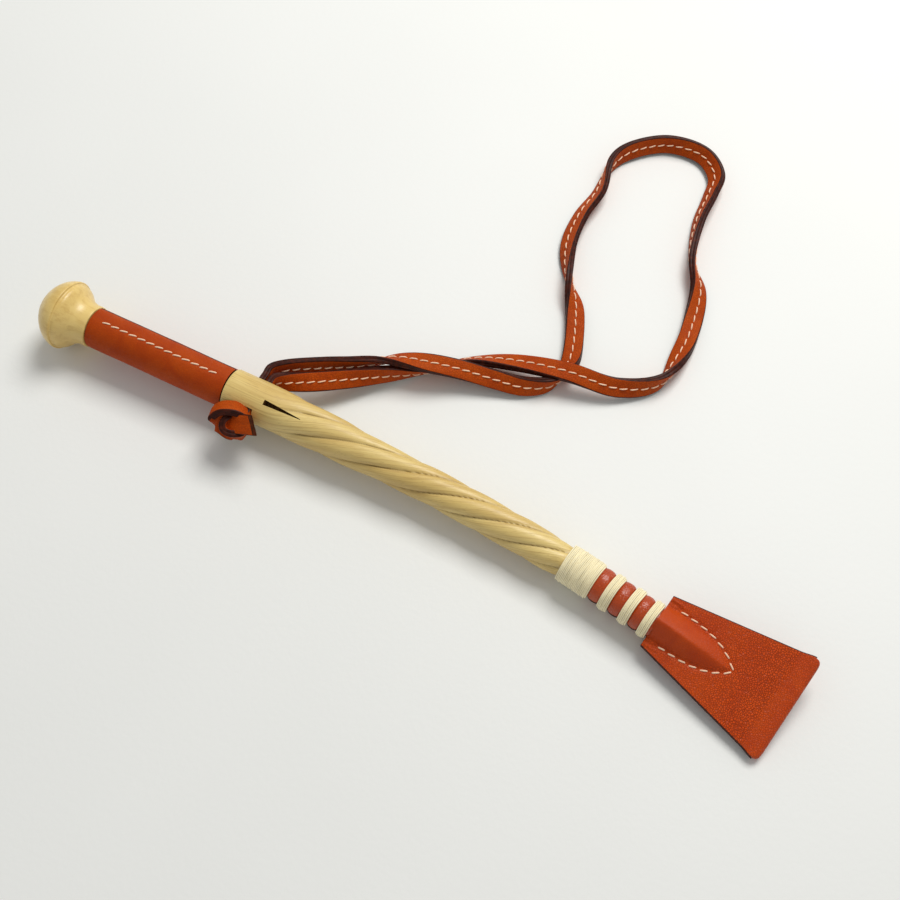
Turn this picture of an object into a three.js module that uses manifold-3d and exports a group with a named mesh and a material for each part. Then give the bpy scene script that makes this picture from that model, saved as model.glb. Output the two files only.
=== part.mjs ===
// A miniature riding crop: a turned knob, a leather-covered grip, a cane shaft sawn into five
// strands and twisted, thread whippings that bind the leather flap to the shaft, and a flat wrist
// strap tied through the root of the shaft. Millimetres, +Z up, +X from the knob to the flap.
//
// Most pieces are drawn straight, with x as the distance s along the crop, then laid on the crop's
// own axis, which sinks and bends a little and is rolled about itself.

import * as THREE from "three";
import { mergeVertices } from "three/addons/utils/BufferGeometryUtils.js";
import Module from "manifold-3d";

const wasm = await Module();
wasm.setup();
const { degToRad, lerp, smoothstep } = THREE.MathUtils;

// Driving dimensions -------------------------------------------------------------------------

const GAP = 0.3;                 // between pieces that touch on the real crop
const CENTRE = { x: 116.57, y: -9.8, z: 0 }; // middle of the crop's footprint, from the axis start

const KNOB_RADIUS = 10.1;
const KNOB_WIDEST = 8.8;         // s of the knob's largest ring
const SOCKET = { start: 8.5, radius: 3.3 }; // bored in the knob for the shaft's core
const GRIP_START = 17.9;
const GRIP_END = 61.8;
const GRIP_RADIUS = 5.75;
const SLEEVE_THICKNESS = 0.85;
const LAP_STEP = 0.3;            // the sleeve's outer ply over its inner ply
const ROOT_RADIUS = 6.1;
const SLOT = { s: 69.5, width: 4.9, height: 6.2, corner: 0.5, tilt: degToRad(-12) };
const KERF = { start: 74.2, end: 85.5, width: 1.5, depth: 3.6, angle: 93 };
const TWIST_START = 74;
const STRANDS = 5;
const TIP_RADIUS = 3.6;          // of the shaft under the whippings
const WHIP_RADIUS = 5.3;
const WHIP_THICKNESS = 0.5;
const WHIPPINGS = [
  ["whipping_wide", 165.1, 174.65],
  ["whipping_band_1", 178.0, 180.8],
  ["whipping_band_2", 184.1, 186.8],
  ["whipping_band_3", 189.8, 192.3],
];
const TONGUE_START = 168;
const TONGUE_RADIUS = 4.45;      // outer face of the leather tongues under the whippings
const FLAP_START = 192.6;
const FLAP_END = 231;
const FLAP_HALF_WIDTHS = [7.65, 14.95];
const FLAP_SHIFT = 0.6;          // the flap sits this far off the shaft's centre line
const LEATHER = 1.15;            // thickness of one ply of the flap
const POCKET = { length: 21.5, halfWidth: 4.7, height: 4.5 };
const HINGE_S = 217.8;           // where the flap flexes, just past the end of the pocket
const STRAP = { width: 5.5, thickness: 2.0 };

// The crop's axis -------------------------------------------------------------------------------

const PITCH = degToRad(-1.31);  // it sinks from the knob to the flap
const ROLL = degToRad(15);       // the flap's near edge is down, its far edge is up
const AXIS_START = { x: 0, y: 0.2, z: KNOB_RADIUS - KNOB_WIDEST * Math.sin(PITCH) };
const BENDS = [
  { from: 70, to: 90, turn: degToRad(-1.9) },
  { from: 115, to: 145, turn: degToRad(-3.3) },
  { from: 156, to: 174, turn: degToRad(-5.1) },
];
const AXIS_STEP = 0.5;

const headingAt = (s) => BENDS.reduce((sum, b) => sum + b.turn * smoothstep(s, b.from, b.to), 0);

const axisPoints = [new THREE.Vector3(AXIS_START.x, AXIS_START.y, AXIS_START.z)];
for (let s = AXIS_STEP; s <= FLAP_END + 5; s += AXIS_STEP) {
  const heading = headingAt(s - AXIS_STEP / 2);
  const step = new THREE.Vector3(Math.cos(heading), Math.sin(heading), 0)
    .multiplyScalar(Math.cos(PITCH) * AXIS_STEP)
    .setZ(Math.sin(PITCH) * AXIS_STEP);
  axisPoints.push(axisPoints.at(-1).clone().add(step));
}

// The place and turn of the crop's axis at distance s, as a matrix.
function axisFrame(s) {
  const i = Math.min(Math.floor(s / AXIS_STEP), axisPoints.length - 2);
  const place = axisPoints[i].clone().lerp(axisPoints[i + 1], s / AXIS_STEP - i);
  const turn = new THREE.Matrix4()
    .makeRotationZ(headingAt(s))
    .multiply(new THREE.Matrix4().makeRotationY(-PITCH))
    .multiply(new THREE.Matrix4().makeRotationX(ROLL));
  return turn.setPosition(place);
}

// Moves a piece drawn straight along x on to the crop's axis.
function layOnAxis(geometry) {
  const position = geometry.getAttribute("position");
  const v = new THREE.Vector3();
  for (let i = 0; i < position.count; i++) {
    v.fromBufferAttribute(position, i);
    const frame = axisFrame(v.x);
    v.setX(0).applyMatrix4(frame);
    position.setXYZ(i, v.x, v.y, v.z);
  }
  return geometry;
}

// Helpers -----------------------------------------------------------------------------------------

function toSolid(geometry) {
  const bare = geometry.index ? geometry.toNonIndexed() : geometry.clone();
  bare.deleteAttribute("normal");
  bare.deleteAttribute("uv");
  const merged = mergeVertices(bare, 1e-3);
  return new wasm.Manifold(new wasm.Mesh({
    numProp: 3,
    vertProperties: merged.attributes.position.array,
    triVerts: new Uint32Array(merged.index.array),
  }));
}

function toGeometry(solid) {
  const mesh = solid.getMesh();
  return new THREE.BufferGeometry()
    .setAttribute("position", new THREE.BufferAttribute(mesh.vertProperties, 3))
    .setIndex(new THREE.BufferAttribute(mesh.triVerts, 1));
}

// A turned piece: [s, radius] pairs, spun about the x axis.
function turned(profile, segments) {
  const points = profile.map(([s, r]) => new THREE.Vector2(r, s));
  return new THREE.LatheGeometry(points, segments).rotateZ(-Math.PI / 2);
}

// A ring or tube between two radii.
function ring(from, to, inner, outer, segments) {
  const edge = 0.12;
  return turned([
    [from, inner], [from, outer - edge], [from + edge, outer],
    [to - edge, outer], [to, outer - edge], [to, inner], [from, inner],
  ], segments);
}

// Gives every vertex of a geometry a new place.
function reshape(geometry, move) {
  const position = geometry.getAttribute("position");
  const v = new THREE.Vector3();
  for (let i = 0; i < position.count; i++) {
    move(v.fromBufferAttribute(position, i));
    position.setXYZ(i, v.x, v.y, v.z);
  }
  return geometry;
}

// The value at x on a line through the given [x, value] knots.
function along(knots, x) {
  const i = knots.findIndex(([knot]) => knot >= x);
  if (i === 0) return knots[0][1];
  if (i < 0) return knots.at(-1)[1];
  const [[x0, y0], [x1, y1]] = [knots[i - 1], knots[i]];
  return lerp(y0, y1, (x - x0) / (x1 - x0));
}

const material = (color, roughness) =>
  new THREE.MeshStandardMaterial({ color, roughness, metalness: 0 });
const CANE = material(0xd9c48a, 0.5);
const TURNED_WOOD = material(0xcdb878, 0.4);
const ORANGE_LEATHER = material(0xb24a16, 0.5);
const LINEN = material(0xdcd3b4, 0.8);

function piece(name, geometry, surface) {
  const mesh = new THREE.Mesh(geometry, surface);
  mesh.name = name;
  return mesh;
}

// Handle: knob, sleeve and its seam, all straight ----------------------------------------------------

function knob() {
  const outside = [
    [1, 0], [1.15, 1.6], [1.7, 3.7], [2.5, 5.5], [3.9, 7.3], [5.3, 8.65], [6.7, 9.5],
    [KNOB_WIDEST, KNOB_RADIUS], [9.6, 9.8], [10.9, 8.75], [12.35, 7.35], [13.8, 6.5],
    [15.3, 6.1], [GRIP_START - GAP, 6.0],
  ];
  const { start, radius } = SOCKET;
  const socket = [[GRIP_START - GAP, radius], [start, radius], [start, 0]];
  return piece("knob", turned([...outside, ...socket], 28), TURNED_WOOD);
}

// The sleeve's outline round the shaft: the outer ply laps over the inner one at lapEdge.
function gripSleeve() {
  const lapEdge = 28;
  const lapLength = 60;
  const outline = new THREE.Shape();
  for (let angle = lapEdge; angle < lapEdge + 360; angle += 10) {
    const lap = LAP_STEP * Math.max(0, 1 - (angle - lapEdge) / lapLength);
    const r = GRIP_RADIUS + lap;
    const a = degToRad(angle);
    outline[angle === lapEdge ? "moveTo" : "lineTo"](r * Math.cos(a), r * Math.sin(a));
  }
  const edge = degToRad(lapEdge - 1);
  outline.lineTo(GRIP_RADIUS * Math.cos(edge), GRIP_RADIUS * Math.sin(edge));
  outline.holes.push(new THREE.Path().absarc(0, 0, GRIP_RADIUS - SLEEVE_THICKNESS, 0, 2 * Math.PI));
  const length = GRIP_END - GRIP_START;
  const geometry = new THREE.ExtrudeGeometry(outline, {
    depth: length, bevelEnabled: false, curveSegments: 14,
  });
  // The outline's x and y become the crop's y and z, and its depth runs along the crop.
  reshape(geometry, (v) => v.set(GRIP_START + v.z, v.x, v.y));
  return piece("grip_sleeve", geometry, ORANGE_LEATHER);
}

function gripSeamThread() {
  const seam = { from: 21.8, to: 58.3, angle: degToRad(76), size: 0.5 };
  const geometry = new THREE.BoxGeometry(seam.to - seam.from, seam.size, seam.size / 2);
  geometry.translate((seam.from + seam.to) / 2, 0, GRIP_RADIUS + LAP_STEP + seam.size / 4);
  geometry.rotateX(seam.angle - Math.PI / 2);
  return piece("grip_seam_thread", geometry, LINEN);
}

// Shaft -----------------------------------------------------------------------------------------------

const SHAFT_RADII = [
  [74, ROOT_RADIUS], [90, 5.85], [99, 5.6], [107, 5.15], [115, 4.95], [160, 4.85],
  [165, 4.3], [169, TIP_RADIUS], [FLAP_START, TIP_RADIUS],
];
const TWIST = { perMm: degToRad(3.85), from: 73, to: 83 };
const EXTRA_TWIST = { perMm: degToRad(1.37), from: 112, to: 125 };
const FIRST_GROOVE = degToRad(98); // angle of the kerf's groove where the twist begins

// How far the strands have turned at distance s, round the left-handed helix.
function twistAt(s) {
  return [TWIST, EXTRA_TWIST].reduce((sum, t) => {
    const u = THREE.MathUtils.clamp((s - t.from) / (t.to - t.from), 0, 1);
    const ramp = (t.to - t.from) * (u ** 3 - u ** 4 / 2);
    return sum + t.perMm * (ramp + Math.max(0, s - t.to));
  }, 0);
}

// The shaft's outline between the strands: 1 on a strand's crown, less in a groove.
function strandProfile(angle, s) {
  const depth = 0.17 * smoothstep(s, TWIST_START, TWIST_START + 16)
    * (1 - smoothstep(s, 163, 169));
  const groove = FIRST_GROOVE - twistAt(s);
  const crown = Math.abs(Math.sin((STRANDS / 2) * (angle - groove))) ** 0.7;
  return 1 - depth * (1 - crown);
}

// Half width and half height of the shaft's tip inside the pocket, a from 0 at the flap's start.
const tipWidth = (a) => TIP_RADIUS * (1 - (a / 20.5) ** 3);
const tipHeight = (a) => TIP_RADIUS * (1 - a / 23);

function strands() {
  const start = TWIST_START;
  const end = FLAP_START + 19;
  const circle = new THREE.Shape().absarc(0, 0, 1, 0, 2 * Math.PI);
  const steps = 58;
  const geometry = new THREE.ExtrudeGeometry(circle, {
    depth: end - start, steps, bevelEnabled: false, curveSegments: 20,
  });
  return reshape(geometry, (v) => {
    const s = start + v.z;
    const angle = Math.atan2(v.y, v.x);
    const a = Math.max(0, s - FLAP_START);
    const r = along(SHAFT_RADII, s) * strandProfile(angle, s) / TIP_RADIUS;
    v.set(s, v.x * r * tipWidth(a), v.y * r * tipHeight(a));
  });
}

// The strap's mortise across the root, a little higher on the near side.
function slotTool() {
  const [w, h, r] = [SLOT.width / 2 - SLOT.corner, SLOT.height / 2 - SLOT.corner, SLOT.corner];
  const outline = new THREE.Shape()
    .absarc(w, h, r, 0, Math.PI / 2)
    .absarc(-w, h, r, Math.PI / 2, Math.PI)
    .absarc(-w, -h, r, Math.PI, 1.5 * Math.PI)
    .absarc(w, -h, r, 1.5 * Math.PI, 2 * Math.PI);
  const depth = 4 * ROOT_RADIUS;
  return new THREE.ExtrudeGeometry(outline, { depth, bevelEnabled: false, curveSegments: 2 })
    .translate(0, 0, -depth / 2)
    .rotateX(Math.PI / 2 + SLOT.tilt - ROLL)
    .translate(SLOT.s, 0, 0);
}

// The saw kerf: a wedge, wide where the saw stopped and closing along the shaft.
function kerfTool() {
  const outline = new THREE.Shape([
    new THREE.Vector2(KERF.start, -KERF.width / 2),
    new THREE.Vector2(KERF.end, -KERF.width / 20),
    new THREE.Vector2(KERF.end, KERF.width / 20),
    new THREE.Vector2(KERF.start, KERF.width / 2),
  ]);
  return new THREE.ExtrudeGeometry(outline, { depth: 2 * KERF.depth, bevelEnabled: false })
    .translate(0, 0, ROOT_RADIUS - KERF.depth)
    .rotateX(degToRad(KERF.angle) - Math.PI / 2);
}

function shaft() {
  const root = turned([
    [SOCKET.start + 0.5, 0], [SOCKET.start + 0.5, SOCKET.radius - 0.4],
    [GRIP_START, SOCKET.radius - 0.4], [GRIP_START, 4.6], [GRIP_END + GAP, 4.6],
    [GRIP_END + GAP, 5.95], [GRIP_END + GAP + 0.5, ROOT_RADIUS],
    [TWIST_START + 1, ROOT_RADIUS], [TWIST_START + 1, 0],
  ], 40);
  const solid = toSolid(root)
    .add(toSolid(strands()))
    .subtract(toSolid(slotTool()))
    .subtract(toSolid(kerfTool()));
  return piece("shaft", layOnAxis(toGeometry(solid)), CANE);
}

// Whippings and flap ----------------------------------------------------------------------------------

function whipping([name, from, to]) {
  const geometry = ring(from, to, WHIP_RADIUS - WHIP_THICKNESS, WHIP_RADIUS, 24);
  return piece(name, layOnAxis(geometry), LINEN);
}

const flapHalfWidth = (s) => lerp(...FLAP_HALF_WIDTHS, (s - FLAP_START) / (FLAP_END - FLAP_START));

// Height of the moulded pocket's inner face over the flap's middle plane.
function pocketRise(a, y) {
  const halfWidth = POCKET.halfWidth * (1 - (a / POCKET.length) ** 4);
  const height = POCKET.height * (1 - (a / POCKET.length) ** 1.6);
  const t = Math.min(1, Math.abs(y) / Math.max(halfWidth, 0.01));
  return a < POCKET.length ? height * (1 - t ** 1.7) ** 0.8 : 0;
}

// One leaf of the flap with its tongue, as a box of unit sides bent into place:
// x runs along the leaf, y across it, and z through it, outwards from the shaft.
function flapLeaf(name, side) {
  const tongueSteps = 5;
  const flapSteps = 15;
  const steps = tongueSteps + flapSteps;
  const end = HINGE_S - 1.7;
  const tongueSpan = degToRad(76);
  const geometry = new THREE.BoxGeometry(steps, 2, 1, steps, 14, 1);
  reshape(geometry, (v) => {
    const step = v.x + steps / 2;
    const isTongue = step <= tongueSteps;
    const outer = v.z > 0;
    if (isTongue) {
      const s = lerp(TONGUE_START, FLAP_START - GAP, step / tongueSteps);
      const r = outer ? TONGUE_RADIUS : TONGUE_RADIUS - 0.55;
      const angle = v.y * tongueSpan;
      v.set(s, r * Math.sin(angle), r * Math.cos(angle) * side);
      return;
    }
    const s = lerp(FLAP_START, end, (step - tongueSteps - 1) / (flapSteps - 1));
    const y = v.y * (flapHalfWidth(s) - (outer ? 0.15 : 0)) + FLAP_SHIFT;
    const rise = GAP / 2 + pocketRise(s - FLAP_START, y) * (outer ? 1.02 : 0.98);
    v.set(s, y, (rise + (outer ? LEATHER : 0)) * side);
  });
  if (side < 0) flipFaces(geometry);
  return piece(name, layOnAxis(geometry), ORANGE_LEATHER);
}

// Turns every triangle round, after a mirroring.
function flipFaces(geometry) {
  const index = geometry.index;
  for (let i = 0; i < index.count; i += 3) {
    const first = index.getX(i);
    index.setX(i, index.getX(i + 1));
    index.setX(i + 1, first);
  }
  return geometry;
}

// The free end of the flap: both plies and the fold that joins them. Its near end is round about
// the line on which the flap flexes.
function flapFold() {
  const half = GAP / 2 + LEATHER;
  const cornerRadius = 1.6;
  const side = new THREE.Shape()
    .absarc(HINGE_S, 0, half, Math.PI / 2, 1.5 * Math.PI)
    .absarc(FLAP_END - half * 1.15, 0, half * 1.15, -Math.PI / 2, Math.PI / 2);
  const geometry = new THREE.ExtrudeGeometry(side, {
    depth: 2, steps: 16, bevelEnabled: false, curveSegments: 8,
  });
  reshape(geometry, (v) => {
    const across = v.z - 1;
    const reach = smoothstep(v.x, HINGE_S, FLAP_END);
    const cut = cornerRadius * (1 - Math.sqrt(1 - Math.abs(across) ** 24));
    v.set(v.x - cut * reach, -(across * flapHalfWidth(v.x)) + FLAP_SHIFT, v.y);
  });
  return piece("flap_fold", layOnAxis(geometry), ORANGE_LEATHER);
}

// The V-shaped seam round the pocket, on the face of one leaf.
function flapSeamThread(name, side) {
  const seam = { length: POCKET.length + 0.6, halfWidth: POCKET.halfWidth + 0.6, start: 3 };
  const size = 0.35;
  const points = [];
  for (let i = -8; i <= 8; i++) {
    const t = i / 8;
    const a = lerp(seam.length, seam.start, Math.abs(t) ** 1.5);
    const y = Math.sign(t) * seam.halfWidth * (1 - (a / seam.length) ** 4);
    points.push(new THREE.Vector3(FLAP_START + a, y, 0));
  }
  const path = new THREE.CatmullRomCurve3(points, false, "centripetal");
  const outline = new THREE.Shape().absarc(0, 0, size / 2, 0, 2 * Math.PI);
  const tube = new THREE.ExtrudeGeometry(outline, {
    extrudePath: path, steps: 32, curveSegments: 3,
  });
  const geometry = mergeVertices(tube.deleteAttribute("normal").deleteAttribute("uv"));
  reshape(geometry, (v) => {
    const skin = GAP / 2 + LEATHER + pocketRise(v.x - FLAP_START, v.y) * 1.1;
    v.z = side * (skin + GAP + size / 2 + v.z);
  });
  if (side < 0) flipFaces(geometry);
  return piece(name, layOnAxis(geometry), LINEN);
}

// Wrist strap ------------------------------------------------------------------------------------------

// The loop's route from the slot's far mouth and back: x, y, height, and the strap's roll about its
// run in degrees, 0 when it lies flat and 90 when it stands on edge.
const STRAP_ROUTE = [
  [68.4, 8.4, 7.4, 90], [68.5, 10.8, 7.3, 86], [71.4, 13.4, 7.3, 77], [80.7, 19.2, 6.9, 73],
  [86.7, 22.7, 6.8, 84], [92.7, 26.7, 7.0, 108], [98.8, 30.1, 7.1, 147], [107.3, 32.8, 7.3, 186],
  [115.8, 35.8, 5.5, 203], [124.8, 38.0, 3.9, 217], [133.1, 40.1, 3.1, 238],
  [138.8, 43.8, 3.0, 268], [141.2, 49.0, 3.0, 305], [141.0, 55.0, 2.1, 342],
  [135.5, 70.1, 1.9, 376], [129.8, 79.0, 3.0, 443], [124.4, 91.0, 2.8, 495],
  [123.4, 102.9, 2.7, 497], [124.8, 113.0, 2.9, 488], [123.9, 125.6, 2.9, 446],
  [127.0, 132.4, 3.1, 428], [137.0, 140.5, 3.1, 428], [148.6, 141.2, 2.9, 413],
  [155.2, 135.2, 2.8, 408], [156.2, 127.0, 3.0, 415], [156.6, 116.0, 3.1, 428],
  [160.1, 101.4, 3.0, 462], [165.1, 93.0, 2.7, 499], [167.6, 83.0, 1.7, 530],
  [168.6, 71.0, 2.3, 560], [166.6, 58.2, 3.0, 633], [157.0, 51.0, 3.7, 672],
  [142.4, 47.9, 6.0, 706], [126.6, 44.6, 4.7, 740], [116.0, 40.5, 3.5, 770],
  [106.1, 32.9, 3.0, 782], [96.4, 25.2, 4.9, 823], [81.0, 13.6, 6.9, 864], [74.2, 10.0, 7.3, 840],
  [70.8, 8.4, 7.4, 810],
];

// A curve with a flat strap's own turn about its run in place of the curve's Frenet frames.
class StrapCurve extends THREE.CatmullRomCurve3 {
  constructor(route) {
    super(route.map(([x, y, z]) => new THREE.Vector3(x, y, z)), false, "centripetal");
    this.rolls = route.map(([, , , roll]) => degToRad(roll));
  }

  rollAt(t) {
    const place = t * (this.rolls.length - 1);
    const i = Math.min(Math.floor(place), this.rolls.length - 2);
    return lerp(this.rolls[i], this.rolls[i + 1], smoothstep(place - i, 0, 1));
  }

  computeFrenetFrames(steps) {
    const frames = { tangents: [], normals: [], binormals: [] };
    for (let i = 0; i <= steps; i++) {
      const t = this.getUtoTmapping(i / steps);
      const tangent = this.getTangent(t);
      const level = new THREE.Vector3(-tangent.y, tangent.x, 0).normalize();
      const width = level.applyAxisAngle(tangent, this.rollAt(t));
      frames.tangents.push(tangent);
      frames.normals.push(width);
      frames.binormals.push(new THREE.Vector3().crossVectors(tangent, width));
    }
    return frames;
  }
}

// A flat strap's section: its width along x, its edges rounded off with one chamfer.
function strapSection(width, thickness) {
  const chamfer = thickness * 0.25;
  const [w, t] = [width / 2, thickness / 2];
  return new THREE.Shape([
    [w - chamfer, -t], [w, -t + chamfer], [w, t - chamfer], [w - chamfer, t],
    [-w + chamfer, t], [-w, t - chamfer], [-w, -t + chamfer], [-w + chamfer, -t],
  ].map(([x, y]) => new THREE.Vector2(x, y)));
}

function strapLoop() {
  const geometry = new THREE.ExtrudeGeometry(strapSection(STRAP.width, STRAP.thickness), {
    extrudePath: new StrapCurve(STRAP_ROUTE), steps: 80,
  });
  return piece("strap_loop", geometry, ORANGE_LEATHER);
}

// The strap's two ends, side by side through the slot. The section's width stands upright, its
// thickness lies along the crop and its run goes across it.
function strapEnd(name, offset) {
  const reach = ROOT_RADIUS + GAP;
  const geometry = new THREE.ExtrudeGeometry(strapSection(STRAP.width, STRAP.thickness), {
    depth: 2 * reach, bevelEnabled: false,
  });
  reshape(geometry, (v) => v.set(v.y, v.z - reach, v.x));
  const mesh = piece(name, geometry, ORANGE_LEATHER);
  mesh.position.x = offset;
  return mesh;
}

function strapKnot() {
  const geometry = new THREE.SphereGeometry(0.5, 18, 12).scale(10.8, 6.2, 9.6);
  const mesh = piece("strap_knot", geometry, ORANGE_LEATHER);
  mesh.position.set(-2.1, -9.9, 0);
  return mesh;
}

// The cut end that sticks out of the knot, face outwards.
function strapTail() {
  const length = 3;
  const geometry = new THREE.ExtrudeGeometry(strapSection(STRAP.width, STRAP.thickness), {
    depth: length, bevelEnabled: false,
  });
  reshape(geometry, (v) => v.set(v.z, -v.y, v.x));
  const mesh = piece("strap_tail", geometry, ORANGE_LEATHER);
  mesh.position.set(3.8, -8.4, -0.6);
  mesh.rotation.y = degToRad(14);
  return mesh;
}

// Assembly ------------------------------------------------------------------------------------------------

const handle = new THREE.Group();
axisFrame(0).decompose(handle.position, handle.quaternion, handle.scale);
handle.add(knob(), gripSleeve(), gripSeamThread());

const flap = new THREE.Group();
flap.add(
  flapLeaf("flap_leaf_upper", 1),
  flapLeaf("flap_leaf_lower", -1),
  flapFold(),
  flapSeamThread("flap_seam_upper", 1),
  flapSeamThread("flap_seam_lower", -1),
);

// Everything at the slot: local +Y runs through it from the knot to the loop.
const slot = new THREE.Group();
const endOffset = STRAP.thickness / 2 + GAP / 2;
slot.position.setFromMatrixPosition(axisFrame(SLOT.s));
slot.rotation.x = SLOT.tilt;
slot.add(
  strapEnd("strap_end_rear", -endOffset),
  strapEnd("strap_end_front", endOffset),
  strapKnot(),
  strapTail(),
);

const crop = new THREE.Group();
crop.add(handle, shaft(), ...WHIPPINGS.map(whipping), flap, slot, strapLoop());
crop.position.set(-CENTRE.x, -CENTRE.y, -CENTRE.z);

export default crop;
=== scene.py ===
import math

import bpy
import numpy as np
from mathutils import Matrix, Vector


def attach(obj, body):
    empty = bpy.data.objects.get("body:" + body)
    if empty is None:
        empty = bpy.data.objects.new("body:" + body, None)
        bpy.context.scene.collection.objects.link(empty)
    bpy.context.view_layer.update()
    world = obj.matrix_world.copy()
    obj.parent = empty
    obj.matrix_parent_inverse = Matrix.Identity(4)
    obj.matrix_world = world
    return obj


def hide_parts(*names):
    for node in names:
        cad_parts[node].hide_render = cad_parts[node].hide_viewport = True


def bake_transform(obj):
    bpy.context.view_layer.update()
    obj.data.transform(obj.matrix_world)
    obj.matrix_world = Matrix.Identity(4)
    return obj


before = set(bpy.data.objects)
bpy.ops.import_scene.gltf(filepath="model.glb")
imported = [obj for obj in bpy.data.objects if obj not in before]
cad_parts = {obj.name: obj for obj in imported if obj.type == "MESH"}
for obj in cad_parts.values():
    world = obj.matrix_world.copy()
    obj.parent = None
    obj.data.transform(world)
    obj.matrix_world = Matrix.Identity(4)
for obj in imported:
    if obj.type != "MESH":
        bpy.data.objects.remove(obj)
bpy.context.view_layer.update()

# A miniature riding crop on a pale table, its wrist strap in loose curves beside it. Metres.
#
# Pieces are drawn straight, with x as the distance s along the crop, y to its left and z up, and
# then laid on the crop's own axis, which sinks and bends a little and is rolled about itself.

MM = 0.001

# Driving dimensions --------------------------------------------------------------------------

CENTRE = np.array([0.11657, -0.0098, 0.0])  # middle of the crop's footprint, from the axis start
KNOB_RADIUS = 0.0101
KNOB_WIDEST = 0.0088
GRIP_START = 0.0179
GRIP_END = 0.0618
GRIP_RADIUS = 0.00575
SLEEVE_THICKNESS = 0.00085
LAP_STEP = 0.0003
LAP_EDGE = math.radians(28)
LAP_LENGTH = math.radians(60)
GRIP_SEAM = {"from": 0.0229, "to": 0.0572, "angle": math.radians(76), "stitches": 13}
ROOT_RADIUS = 0.0061
SLOT = {"s": 0.0695, "width": 0.0049, "height": 0.0062, "tilt": math.radians(-12)}
KERF = {"start": 0.0742, "end": 0.0855, "width": 0.0015, "depth": 0.0036, "angle": math.radians(93)}
TWIST_START = 0.074
STRANDS = 5
SHAFT_RADII = [
    (0.062, ROOT_RADIUS), (0.074, ROOT_RADIUS), (0.090, 0.00585), (0.099, 0.0056), (0.107, 0.00515),
    (0.115, 0.00495), (0.160, 0.00485), (0.165, 0.0043), (0.169, 0.0036), (0.200, 0.0036),
]
TWISTS = [  # turn per metre, and the stretch over which it sets in
    (math.radians(3850), 0.073, 0.083),
    (math.radians(1370), 0.112, 0.125),
]
FIRST_GROOVE = math.radians(98)
WHIP_RADIUS = 0.0053
TWINE = 0.00042
WHIPPINGS = {
    "whipping_wide": (0.1651, 0.17465),
    "whipping_band_1": (0.1780, 0.1808),
    "whipping_band_2": (0.1841, 0.1868),
    "whipping_band_3": (0.1898, 0.1923),
}
TONGUE_RADIUS = 0.0045
TONGUE_SPAN = math.radians(74)
FLAP_START = 0.1926
FLAP_END = 0.2310
FLAP_HALF_WIDTHS = (0.00765, 0.01495)
FLAP_SHIFT = 0.0006
FLAP_HALF = 0.0013               # half the flap's thickness, two plies together
POCKET = {"length": 0.0215, "half_width": 0.0047, "height": 0.0045}
V_SEAM = {"length": 0.0222, "half_width": 0.0053, "start": 0.0033, "stitches": 14}
STRAP_WIDTH = 0.0055
STRAP_THICKNESS = 0.0020
STITCH_PITCH = 0.0030
STITCH_RADIUS = 0.00024
PLY_OFFSET = STRAP_THICKNESS / 2 + 0.00015  # each length of the strap, from the slot's middle
GROOVE_DEPTH = 0.19                         # of the shaft's radius
FLAP_CORNER = 0.0016
FIELD_OF_VIEW = math.radians(42)
SENSOR_WIDTH = 36.0
CAMERA_PLACE = np.array([0.1876, -0.1181, 0.2894])  # like its target, from the axis start
CAMERA_TARGET = np.array([0.1224, 0.0141, 0.0])

# The crop's axis -----------------------------------------------------------------------------

PITCH = math.radians(-1.31)
ROLL = math.radians(15)
AXIS_START = np.array([0.0, 0.0002, KNOB_RADIUS - KNOB_WIDEST * math.sin(PITCH)])
BENDS = [(0.070, 0.090, math.radians(-1.9)), (0.115, 0.145, math.radians(-3.3)),
         (0.156, 0.174, math.radians(-5.1))]
AXIS_STEP = 0.0005


def smoothstep(x, low, high):
    t = np.clip((np.asarray(x, float) - low) / (high - low), 0, 1)
    return t * t * (3 - 2 * t)


def turn(axis, angle):
    """Rotation matrix about the x, y or z axis."""
    c, s = math.cos(angle), math.sin(angle)
    i, j = {"x": (1, 2), "y": (2, 0), "z": (0, 1)}[axis]
    m = np.eye(3)
    m[i, i] = m[j, j] = c
    m[i, j] = -s
    m[j, i] = s
    return m


def heading(s):
    return sum(angle * smoothstep(s, low, high) for low, high, angle in BENDS)


def axis_line():
    s = np.arange(0, FLAP_END + 0.005, AXIS_STEP)
    h = heading(s[1:] - AXIS_STEP / 2)
    flat = math.cos(PITCH)
    steps = np.stack([np.cos(h) * flat, np.sin(h) * flat, np.full_like(h, math.sin(PITCH))], 1)
    return s, np.vstack([AXIS_START, AXIS_START + np.cumsum(steps * AXIS_STEP, 0)])


AXIS_S, AXIS_POINTS = axis_line()
LEVEL_TURN = turn("y", -PITCH) @ turn("x", ROLL)


def lay(points):
    """Points drawn straight, moved on to the crop's axis and into the frame."""
    points = np.asarray(points, float)
    s = points[..., 0]
    origin = np.stack([np.interp(s, AXIS_S, AXIS_POINTS[:, k]) for k in range(3)], -1)
    offset = points[..., 1:2] * LEVEL_TURN[:, 1] + points[..., 2:3] * LEVEL_TURN[:, 2]
    h = heading(s)
    c, n = np.cos(h), np.sin(h)
    turned = np.stack([
        c * offset[..., 0] - n * offset[..., 1],
        n * offset[..., 0] + c * offset[..., 1],
        offset[..., 2],
    ], -1)
    return origin + turned - CENTRE


# Mesh helpers ----------------------------------------------------------------------------------

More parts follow.
